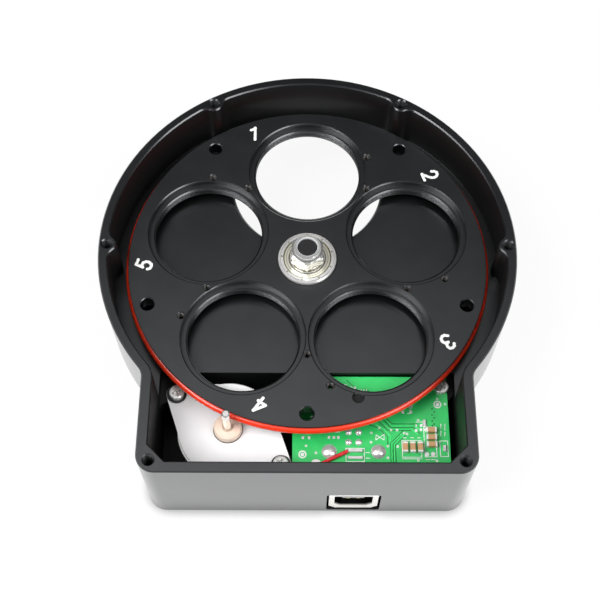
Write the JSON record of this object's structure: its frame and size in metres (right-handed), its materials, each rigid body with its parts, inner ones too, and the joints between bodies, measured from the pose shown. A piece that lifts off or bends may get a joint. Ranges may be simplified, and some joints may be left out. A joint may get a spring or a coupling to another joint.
{
  "type": "motorised optical filter wheel",
  "caption": "Open motorised filter wheel: round anodised housing, bearing-mounted wheel with threaded filter pockets, rubber-ring friction drive from a stepper, USB-B control board.",
  "frame": {"origin": "centre of the optical aperture on the camera-side face of the round body", "axes": "+Z along the optical axis out of the open side; -Y towards the wall with the USB socket; +X completes the right-handed frame"},
  "size_m": [0.1054, 0.1128, 0.03],
  "materials": {
    "housing_anodise": "black anodised, fine satin",
    "wheel_anodise": "black anodised, turned and satin",
    "ring_rubber": "smooth red silicone",
    "zinc_steel": "bright zinc plated",
    "black_steel": "black oxide",
    "bearing_steel": "ground and polished",
    "shield_steel": "pressed sheet",
    "shaft_steel": "ground",
    "rotor_ferrite": "matt ferrite",
    "motor_plate_steel": "pale zinc plated sheet",
    "bronze": "sintered, oily",
    "copper_winding": "enamelled copper",
    "nylon": "plain",
    "board_green": "glossy solder mask",
    "solder": "bright tin",
    "capacitor_ceramic": "ceramic with tinned ends",
    "chip_black": "moulded epoxy",
    "socket_nickel": "nickel plated sheet",
    "socket_plastic": "moulded",
    "contact_gold": "gold flashed",
    "magnet_nickel": "nickel plated",
    "lead_red": "red insulation"
  },
  "bodies": {
    "housing": {"housing": "housing_anodise", "wheel_stud": "black_steel", "bearing_inner_ring": "bearing_steel", "wheel_washer": "zinc_steel", "wheel_nut": "zinc_steel", "nut_insert": "nylon", "motor_can": "zinc_steel", "motor_plate": "motor_plate_steel", "motor_front_bush": "bronze", "motor_rear_bush": "bronze", "motor_stator": "copper_winding", "motor_screws": "zinc_steel", "motor_screw_washers": "black_steel", "circuit_board": "board_green", "board_screws": "zinc_steel", "usb_shell": "socket_nickel", "usb_tongue": "socket_plastic", "usb_contacts": "contact_gold", "solder_joints": "solder", "capacitors_upright": "capacitor_ceramic", "capacitors_flat": "capacitor_ceramic", "chip_parts": "solder", "controller_chip": "chip_black", "driver_chip": "chip_black", "hall_sensor": "chip_black", "motor_lead": "lead_red"},
    "wheel": {"filter_wheel": "wheel_anodise", "drive_ring": "ring_rubber", "index_magnet": "magnet_nickel", "bearing_outer_ring": "bearing_steel", "bearing_shield_top": "shield_steel", "bearing_shield_bottom": "shield_steel"},
    "bearing_cage": {"bearing_balls": "bearing_steel", "bearing_cage": "shield_steel"},
    "motor_shaft": {"motor_shaft": "shaft_steel", "motor_rotor": "rotor_ferrite"}
  },
  "joints": [
    {"name": "wheel_spin", "type": "hinge", "parent": "housing", "child": "wheel", "pos_m": [0, -0.02725, 0.0102], "axis": [0, 0, 1], "continuous": true},
    {"name": "cage_spin", "type": "hinge", "parent": "housing", "child": "bearing_cage", "pos_m": [0, -0.02725, 0.0107], "axis": [0, 0, 1], "continuous": true},
    {"name": "motor_spin", "type": "hinge", "parent": "housing", "child": "motor_shaft", "pos_m": [-0.01939, -0.07121, 0.0102], "axis": [0, 0, 1], "continuous": true}
  ],
  "couplings": [
    {"joint": "motor_spin", "follows": "wheel_spin", "ratio": -47},
    {"joint": "cage_spin", "follows": "wheel_spin", "ratio": 0.59524}
  ]
}
